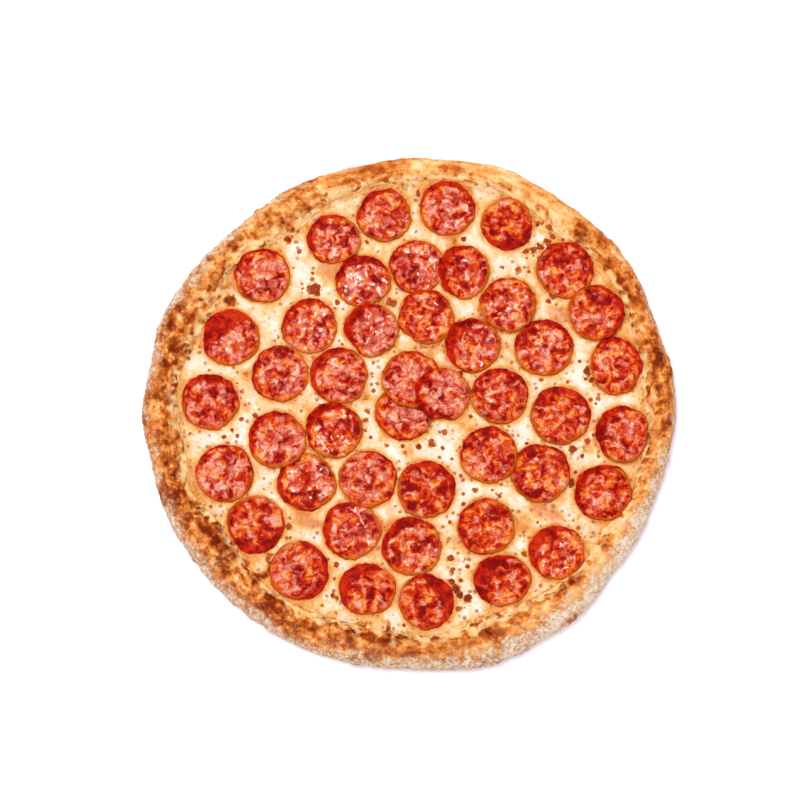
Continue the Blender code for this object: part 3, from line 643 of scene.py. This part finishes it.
def make_slice(number, form, finish):
    """Sausage slice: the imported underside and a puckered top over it, joined by a rounded edge.

    The top stands above the underside, along its normal, by the slice's thickness and the pucker. Round the
    edge both follow a half circle. Each slice has its own part of the noise.
    """
    middle = form[0]
    angle = np.arange(SLICE_AROUND) / SLICE_AROUND * math.tau
    run = np.linspace(0, 1, SLICE_ALONG)[1:]
    bend = np.linspace(0, math.pi, SLICE_EDGE)[1:-1]
    edge = 0.45 * SAUSAGE / series(form[1], angle).mean()
    below = np.array(SLICE_UNDER)
    share = np.concatenate(((1 - edge) * run, 1 - edge * (1 - np.sin(bend)), (1 - edge) * below))
    lift = np.concatenate((np.ones(len(run)), (1 + np.cos(bend)) / 2, 0 * below))
    share, turn = np.meshgrid(share, angle, indexing="ij")
    lift = lift[:, None] + 0 * turn
    radius = series(form[1], turn)
    x, y = share * radius * np.cos(turn), share * radius * np.sin(turn)
    base = np.stack((x, y, underside(form, share, turn)), -1)
    step = 0.01
    outward = underside(form, share + step, turn) - underside(form, share - step, turn)
    sideways = underside(form, share, turn + step) - underside(form, share, turn - step)
    outward = outward / (2 * step * radius)
    sideways = sideways / (2 * step * share * radius)
    cos, sin = np.cos(turn), np.sin(turn)
    normal = np.stack((-outward * cos + sideways * sin, -outward * sin - sideways * cos, 1 + 0 * turn), -1)
    normal /= np.linalg.norm(normal, axis=-1)[..., None]
    place = base + (middle[0], middle[1], 40 * number)
    pucker = 0.35 * layered(place, 5, 101, 3) + 0.2 * layered(place, 2.6, 111, 2)
    rim = ramp(share, 0.72, 0.98)
    pucker = pucker * (1 + 0.5 * rim) - 0.35 * rim * (1 - rim) - 0.1
    thick = SAUSAGE * lift + pucker * lift * ramp(share, 1.0, 0.93)
    points = base + normal * thick[..., None] + (middle[0], middle[1], 0)
    ragged = 1.0 * noise(place, 9, 121) + 0.6 * noise(place, 4, 123) + 0.3 * noise(place, 2, 125) - 0.1
    ragged = ragged * ramp(share, 0.7, 1)
    points[..., :2] += np.stack((cos, sin), -1) * ragged[..., None]
    plane = underside(form, 0 * share, turn)
    curl = base[..., 2] - plane
    rosy, side, width, shine, burnt = LOOKS[number - 1]
    side = math.radians(side)
    # The dark red side is painted shade on the inner face of a raised edge, on meat that is also seared
    # darker there.
    toward = np.cos(turn - side)
    wander = share + 0.08 * layered(place, 6, 151, 3)
    ring = 1 - 0.8 * width * ramp(toward, -0.3, 0.8)
    shaded_and_seared_side = np.maximum(ramp(wander, ring - 0.05, ring + 0.06) * ramp(toward, -0.45, 0.1),
                           ramp(wander * toward, 1.06 - 1.65 * width, 1.26 - 1.65 * width))
    # Darkness: real char, the painted shade of the dark side, a thin darker edge that is partly painted
    # shade, and searing where the slice lifts.
    char = burnt + 0.85 * shaded_and_seared_side + 0.35 * ramp(share, 0.95, 1.0) + 0.04 * np.maximum(curl, 0)
    char = char + 0.12 * layered(place, 7, 131, 3)
    aside = np.hypot(share * cos + 0.12 * math.cos(side), share * sin + 0.12 * math.sin(side))
    middle_part = ramp(aside, 1.02, 0.7)
    # The pink middle is pink fat and painted sheen.
    pink = (rosy + 0.3 * layered(place, 8, 141, 2)) * middle_part * (1 - 0.8 * shaded_and_seared_side)
    edged = ramp(share + 0.03 * layered(place, 5, 171, 2), 0.84, 0.97) * (1 - 0.6 * shaded_and_seared_side)
    # Cream flecks and painted glints in the middle.
    gloss = (0.3 * shine + 0.7 * shine**2) * middle_part * (1 - shaded_and_seared_side)
    gloss = gloss * ramp(layered(place, 5, 161, 2), -0.25, 0.35)
    top = [[*middle, series(form[2][:, 0], 0) + SAUSAGE]]
    low = [[*middle, series(form[2][:, 0], 0)]]
    everything = np.concatenate((points.reshape(-1, 3), top, low))
    rows, count = len(points), len(everything)
    ring = np.arange(SLICE_AROUND)
    faces = (grid_faces(rows, SLICE_AROUND, True), fan_faces(ring, count - 2),
             fan_faces(ring + (rows - 1) * SLICE_AROUND, count - 1, False))
    attributes = {label: np.append(values.ravel(), [values[0].mean()] * 2)
                  for label, values in (("char", char), ("pink", pink), ("gloss", gloss), ("edge", edged))}
    make_piece(f"sausage_slice_{number:02d}", everything, faces, finish, attributes,
               f"pepperoni_{number:02d}")


# Orange and yellow stains and crisped scraps on the cheese: across and down in the photograph's pixels,
# width in millimetres, and strength or darkness
STAINS = (
    (537, 508, 12, 0.45), (548, 511, 11, 0.5), (557, 516, 9, 0.4), (523, 523, 13, 0.5), (302, 517, 12, 0.5),
    (313, 524, 12, 0.5), (391, 511, 7, 0.3), (451, 240, 10, 0.45), (434, 347, 9, 0.3), (561, 314, 10, 0.5),
    (551, 309, 7, 0.4), (327, 270, 12, 0.5), (578, 476, 10, 0.4), (344, 504, 9, 0.6), (407, 452, 7, 0.4),
    (246, 374, 8, 0.4), (248, 408, 7, 0.3), (587, 449, 8, 0.35), (466, 424, 12, 0.4), (365, 398, 8, 0.4),
)
SCRAPS = (
    (314, 289, 8, 0.75), (391, 301, 6, 0.6), (299, 250, 3, 0.5), (293, 267, 2, 0.5), (312, 272, 2.5, 0.6),
    (302, 288, 2, 0.5), (464, 238, 3.5, 0.8), (454, 240, 3.5, 0.35), (418.5, 191.5, 3.5, 0.7),
    (367, 241, 3, 0.6), (378, 251, 2.5, 0.3), (518.5, 269, 3.5, 0.5), (503, 266.5, 2.5, 0.5),
    (529.5, 271, 2.5, 0.6), (527.5, 257, 2, 0.4), (538, 224, 2.2, 1.0), (551, 226, 5, 0.55),
    (553.5, 295.5, 4, 0.7), (548.5, 301, 3, 0.65), (563.5, 238.5, 2.2, 0.8), (527, 250, 5, 0.7),
    (534, 249, 5.5, 0.6), (541, 246, 5, 0.7), (548, 241, 5, 0.6), (554, 235, 4.5, 0.6), (209, 370, 2, 0.4),
    (233, 367, 2.5, 0.6), (246.5, 374.5, 4, 0.35), (237, 383, 2.2, 0.5), (242, 391, 2.5, 0.45),
    (241, 397.5, 2, 0.5), (255, 414.5, 3.5, 0.6), (241.5, 419, 2.5, 0.5), (190, 433, 2.2, 0.7),
    (232.5, 430, 2.6, 0.8), (224, 436.5, 3, 0.6), (237.5, 435.5, 2.4, 0.6), (317, 400, 2, 0.4),
    (337, 302, 3, 0.6), (506, 343, 2, 0.4), (373.5, 390, 3, 0.6), (366.5, 410.5, 4, 0.55),
    (365, 398, 3.5, 0.35), (366.5, 420, 3.5, 0.5), (471, 416.5, 2.5, 0.6), (342, 343.5, 2, 0.5),
    (580, 361, 2.4, 0.7), (589, 371, 5, 0.85), (592, 380, 3.5, 0.9), (585.5, 379, 2.4, 0.7),
    (568, 381.5, 2.2, 0.5), (542, 379, 3, 0.5), (598, 398, 3.5, 0.4), (591, 399.5, 2.4, 0.5),
    (596, 403.5, 2.2, 0.6), (610, 391.5, 3, 0.85), (194.5, 504.5, 2.6, 0.6), (205, 504.5, 2, 0.5),
    (211, 506, 2.4, 0.6), (289, 525.5, 4.5, 0.65), (290, 518, 2.4, 0.5), (336.5, 563.5, 4, 0.7),
    (268, 558, 3.5, 0.5), (341, 468, 2.2, 0.6), (364, 430, 3.5, 0.5), (370.5, 436.5, 2.4, 0.6),
    (386.5, 444.5, 2.6, 0.5), (403, 446, 3, 0.75), (418.5, 446, 3.6, 0.85), (431.5, 443, 5.5, 0.6),
    (442.5, 447.5, 3, 0.6), (444.5, 432, 3, 0.5), (406, 452, 3, 0.3), (439.5, 457.5, 2.2, 0.5),
    (451.5, 458.5, 2.2, 0.6), (475, 489.5, 4, 0.55), (463, 493, 2.2, 0.5), (492.5, 489.5, 2.6, 0.5),
    (499, 495.5, 2.8, 0.6), (463, 503, 2.8, 0.65), (453, 512.5, 2.2, 0.5), (450, 521.5, 2.6, 0.6),
    (443, 526, 2.2, 0.4), (450.5, 557.5, 3.8, 0.75), (523.5, 552, 5, 0.6), (460.5, 475.5, 2, 0.5),
    (448.5, 539, 2.6, 0.3), (587.5, 441, 3.6, 0.6), (594, 435.5, 3, 0.85), (582, 455.5, 2.8, 0.7),
    (598, 456, 2.6, 0.5), (586, 450, 3, 0.3), (572, 448.5, 4.5, 0.8), (575, 472, 3, 0.8),
    (571, 482, 6, 0.95), (526.5, 443.5, 2.2, 0.7), (537, 521.5, 2.4, 0.5), (335, 577.5, 2.8, 0.5),
    (333, 594.5, 3.2, 0.75), (337, 597, 2.8, 0.7), (322.5, 604, 2.6, 0.4), (270.5, 555, 4, 0.5),
    (452, 569.5, 3.2, 0.5), (467.5, 566, 2.8, 0.6), (460.5, 579, 3, 0.7), (450, 581, 4, 0.75),
    (455, 588, 5.5, 0.9), (459, 594, 4.5, 0.95), (467.5, 597, 5, 0.95), (458, 607, 4.5, 0.5),
    (404, 624, 2.4, 0.6), (412, 404, 3, 0.9), (460, 373.5, 3.5, 0.95),
)


def make_scraps(finish, surface):
    """Crisped scraps: low domes with uneven outlines, pressed into the cheese, all in one mesh."""
    ring, rows = SCRAP_AROUND, SCRAP_ALONG
    lowest = 0.62 * math.pi
    loop = np.arange(ring)
    turn, fall = np.meshgrid(loop / ring * math.tau, np.linspace(0, 1, rows + 1)[1:] * lowest)
    unit = np.stack((np.sin(fall) * np.cos(turn), np.sin(fall) * np.sin(turn), np.cos(fall)), -1)
    unit = np.concatenate((unit.reshape(-1, 3), [[0, 0, 1], [0, 0, math.cos(lowest)]]))
    points, faces, toast = [], [], []
    for x, y, across, dark in SCRAPS:
        at = np.array(pixel(x, y))
        height = surface[np.hypot(*(surface[:, :2] - at).T).argmin(), 2]
        blob = unit * (0.55 * across, 0.55 * across, 0.2 + 0.06 * across) + (*at, height - 0.06)
        uneven = 0.35 * noise(blob, 2.4, 301) + 0.6 * noise(blob, 4.5, 303)
        blob[:, :2] += (blob[:, :2] - at) * uneven[:, None]
        blob[:, 2] += 0.2 * noise(blob, 1.5, 305)
        start = len(points) * len(unit)
        top, bottom = start + len(unit) - 2, start + len(unit) - 1
        faces += [grid_faces(rows, ring, True) + start, fan_faces(loop + start, top),
                  fan_faces(loop + start + (rows - 1) * ring, bottom, False)]
        points.append(blob)
        toast.append(dark - 0.5 * dark * np.append(ramp(fall.ravel(), 0.5, 1.6), (0, 1)))
    make_piece("crisped_scraps", np.concatenate(points), faces, finish,
               {"toast": np.concatenate(toast)}, None)


def make_cheese(finish, forms):
    """Cheese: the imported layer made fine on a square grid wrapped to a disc, risen to the slices' edges.

    A grid point's greater coordinate is its share of the radius, and the ratio of the two its turn within
    a quarter. Under a slice the surface stays just below it, and beside one it rises to it by an
    exponential of the distance. The underside is a skirt of rings and a fan.
    """
    points = corners("cheese")
    rings = spokes(points, CRUST_SPOKES)
    rings = sort_spokes(rings, rings[..., 0] - 0.001 * rings[..., 1])
    lone = rings.shape[1] - 2 * SKIRT_RINGS
    top = np.concatenate((rings[:, :lone], rings[:, lone::2]), axis=1)[..., :2]
    low = rings[:, lone + 1::2, :2]
    centre = points[np.hypot(points[:, 0], points[:, 1]) < POLE_REACH]
    pole = np.zeros((CRUST_SPOKES, 1, 2)) + (0, centre[:, 2].max())
    top = np.concatenate((pole, top), axis=1)
    u, v = np.meshgrid(*[np.linspace(-1, 1, CHEESE_SIDE)] * 2, indexing="ij")
    share = np.maximum(np.abs(u), np.abs(v))
    steep = np.abs(v) > np.abs(u)
    big, small = np.where(steep, v, u), np.where(steep, u, v)
    bend = math.pi / 4 * small / np.where(big == 0, 1, big)
    x, y = big * np.cos(bend), big * np.sin(bend)
    x, y = np.where(steep, y, x), np.where(steep, x, y)
    turn = np.arctan2(y, x) % math.tau
    stations = top[..., 0].mean(axis=0)
    along = np.interp(share, stations / stations[-1], np.arange(len(stations)))
    radius, height = np.moveaxis(smooth_sheet(top, turn / math.tau * CRUST_SPOKES, along), -1, 0)
    grid = np.stack((radius * np.cos(turn), radius * np.sin(turn), height), -1)
    inside = ramp(share, 1.0, 0.97)
    swell = 0.6 * layered(grid, 13, 201, 2) + 0.3 * layered(grid, 5, 211, 2)
    bubbles = 1.2 * np.maximum(0, noise(grid, 6, 221) - 0.3)
    dark, _, bubble = browned_places(grid[..., 0], grid[..., 1])
    height = height + (swell + bubbles + 0.1 * bubble) * inside - 0.5 * ramp(share, 0.975, 1.0)
    near_slice = np.full_like(height, 99.0)
    for form in forms:
        dx, dy = grid[..., 0] - form[0][0], grid[..., 1] - form[0][1]
        close = np.hypot(dx, dy) < SLICE_REACH
        angle, far = np.arctan2(dy[close], dx[close]), np.hypot(dx[close], dy[close])
        reach = series(form[1], angle)
        out = far - reach
        under = underside(form, np.minimum(far / reach, 1), angle)
        gap = under - height[close]
        pulled = height[close] + (gap + 0.25) * np.exp(-np.maximum(out, 0) / 1.3) * ramp(gap, 2.6, 1.2)
        pressed = np.clip(height[close], under - 0.6, under - 0.12)
        height[close] = np.where(out > 0, pulled, pressed)
        near_slice[close] = np.minimum(near_slice[close], np.maximum(out, 0))
    grid[..., 2] = height
    oil = 0.46 * np.exp(-near_slice / 1.4) + 0.22 * np.exp(-near_slice / 5)
    oil = oil + 0.3 * ramp(share + 0.02 * layered(grid, 10, 233, 2), 0.9, 1.0)
    oil = oil + 0.2 * layered(grid, 28, 231, 3)
    for x, y, across, strength in STAINS:
        out = np.linalg.norm(grid[..., :2] - pixel(x, y), axis=-1)
        oil = oil + strength * ramp(out, 0.8 * across, 0.2 * across)
    sauce = 0.7 * ramp(layered(grid, 16, 241, 3), 0.1, 0.8) * ramp(near_slice, 0, 3)
    toast = 0.26 + 0.6 * ramp(layered(grid, 16, 271, 3), -0.05, 0.45) + 0.2 * ramp(share, 0.93, 1.0)
    brown = np.maximum(dark, 0.4 * ramp(share + 0.03 * layered(grid, 7, 281, 3), 0.975, 1.01))
    for x, y, across, strength in SCRAPS:
        out = np.linalg.norm(grid[..., :2] - pixel(x, y), axis=-1)
        brown = np.maximum(brown, 0.55 * strength * ramp(out, across, 0.4 * across))
    side, last = CHEESE_SIDE, CHEESE_SIDE - 1
    step = np.arange(last)
    border = np.concatenate((step, step * side + last, side**2 - 1 - step, (last - step) * side))
    flat = grid.reshape(-1, 3)
    lip = flat[border]
    direction = np.arctan2(lip[:, 1], lip[:, 0])
    spoke = direction % math.tau / math.tau * CRUST_SPOKES
    skirt = []
    for ring in reversed(range(SKIRT_RINGS)):
        radius, height = smooth_sheet(low, spoke, np.full_like(spoke, float(ring))).T
        skirt.append(np.column_stack((radius * np.cos(direction), radius * np.sin(direction), height)))
    ring = len(border)
    everything = np.concatenate((flat, *skirt, [[0, 0, centre[:, 2].min()]]))
    first = len(flat)
    loops = [border] + [first + k * ring + np.arange(ring) for k in range(SKIRT_RINGS)]
    faces = [grid_faces(side, side, False)]
    for upper, lower in zip(loops, loops[1:]):
        faces.append(np.column_stack((upper, lower, np.roll(lower, -1), np.roll(upper, -1))))
    faces.append(fan_faces(loops[-1], len(everything) - 1, False))
    pad = np.zeros(len(everything) - first)
    attributes = {label: np.append(values.ravel(), pad)
                  for label, values in (("toast", toast), ("oil", oil), ("sauce", sauce), ("brown", brown))}
    make_piece("cheese_layer", everything, faces, finish, attributes, "cheese")
    return flat


# Camera: a long lens that looks down from the near side, with the pizza a little below the middle
ELEVATION = 78            # degrees
LENS, SENSOR = 400, 36
VIEW_WIDTH = 0.5328       # metres across the picture at the toppings' height
LOOK_HEIGHT = 0.011       # metres
PICTURE = 800             # pixels each way
OFF_RIGHT, OFF_DOWN = 9, 11        # pixels from the picture's middle to the pizza's
FLOOR_SIDE = 8            # half the floor's width, in metres
FLOOR_GAP = 0.0003        # metres


def make_camera():
    """The photograph's view, as far off as the lens and the width across the picture give."""
    lens = bpy.data.cameras.new("camera")
    lens.lens, lens.sensor_width = LENS, SENSOR
    far = VIEW_WIDTH * LENS / SENSOR
    tilt = math.radians(ELEVATION)
    camera = bpy.data.objects.new("camera", lens)
    bpy.context.scene.collection.objects.link(camera)
    camera.location = (0, -far * math.cos(tilt), LOOK_HEIGHT + far * math.sin(tilt))
    camera.rotation_euler = (math.pi / 2 - tilt, 0, 0)
    lens.shift_x, lens.shift_y = -OFF_RIGHT / PICTURE, OFF_DOWN / PICTURE
    lens.clip_start, lens.clip_end = 0.05, 100
    bpy.context.scene.camera = camera


def make_light():
    """A high soft sun from the upper left, a softbox for the oil's glints, and an even white surround."""
    scene = bpy.context.scene
    sun = bpy.data.objects.new("sun", bpy.data.lights.new("sun", "SUN"))
    sun.data.energy, sun.data.angle = 1.6, math.radians(20)
    sun.rotation_euler = Vector((-0.17, 0.03, 1)).to_track_quat("Z", "Y").to_euler()
    scene.collection.objects.link(sun)
    box = bpy.data.objects.new("softbox", bpy.data.lights.new("softbox", "AREA"))
    box.data.energy, box.data.size = 2.2, 0.2
    box.location = (-0.15, 0.4, 1.3)
    box.rotation_euler = box.location.to_track_quat("Z", "Y").to_euler()
    scene.collection.objects.link(box)
    world = bpy.data.worlds.new("surround")
    world.use_nodes = True
    world.node_tree.nodes["Background"].inputs["Color"].default_value = (1, 1, 1, 1)
    world.node_tree.nodes["Background"].inputs["Strength"].default_value = 0.6
    scene.world = world
    scene.view_settings.view_transform = "Standard"


def make_floor():
    """A white sweep that stays white in the light and takes only a faint shadow."""
    mesh = bpy.data.meshes.new("floor")
    far = FLOOR_SIDE
    mesh.from_pydata([(-far, -far, 0), (far, -far, 0), (far, far, 0), (-far, far, 0)], [], [(0, 1, 2, 3)])
    finish, tree, _ = start_material("white_board")
    shader = add(tree, "BsdfPrincipled", {
        "Base Color": color("EDE9F7"), "Roughness": 0.9, "Emission Color": (1, 1, 1, 1),
        "Emission Strength": 0.22})
    close_material(tree, shader)
    mesh.materials.append(finish)
    floor = bpy.data.objects.new("floor", mesh)
    floor.location = (0, 0, -FLOOR_GAP)
    bpy.context.scene.collection.objects.link(floor)
    floor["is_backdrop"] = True


slices = [f"pepperoni_{number:02d}" for number in range(1, len(LOOKS) + 1)]
forms = [slice_form(name) for name in slices]
make_crust(dough_material())
surface = make_cheese(cheese_material(), forms)
make_scraps(crisp_material(), surface)
sausage = sausage_material()
for number, form in enumerate(forms, 1):
    make_slice(number, form, sausage)
make_camera()
make_light()
make_floor()
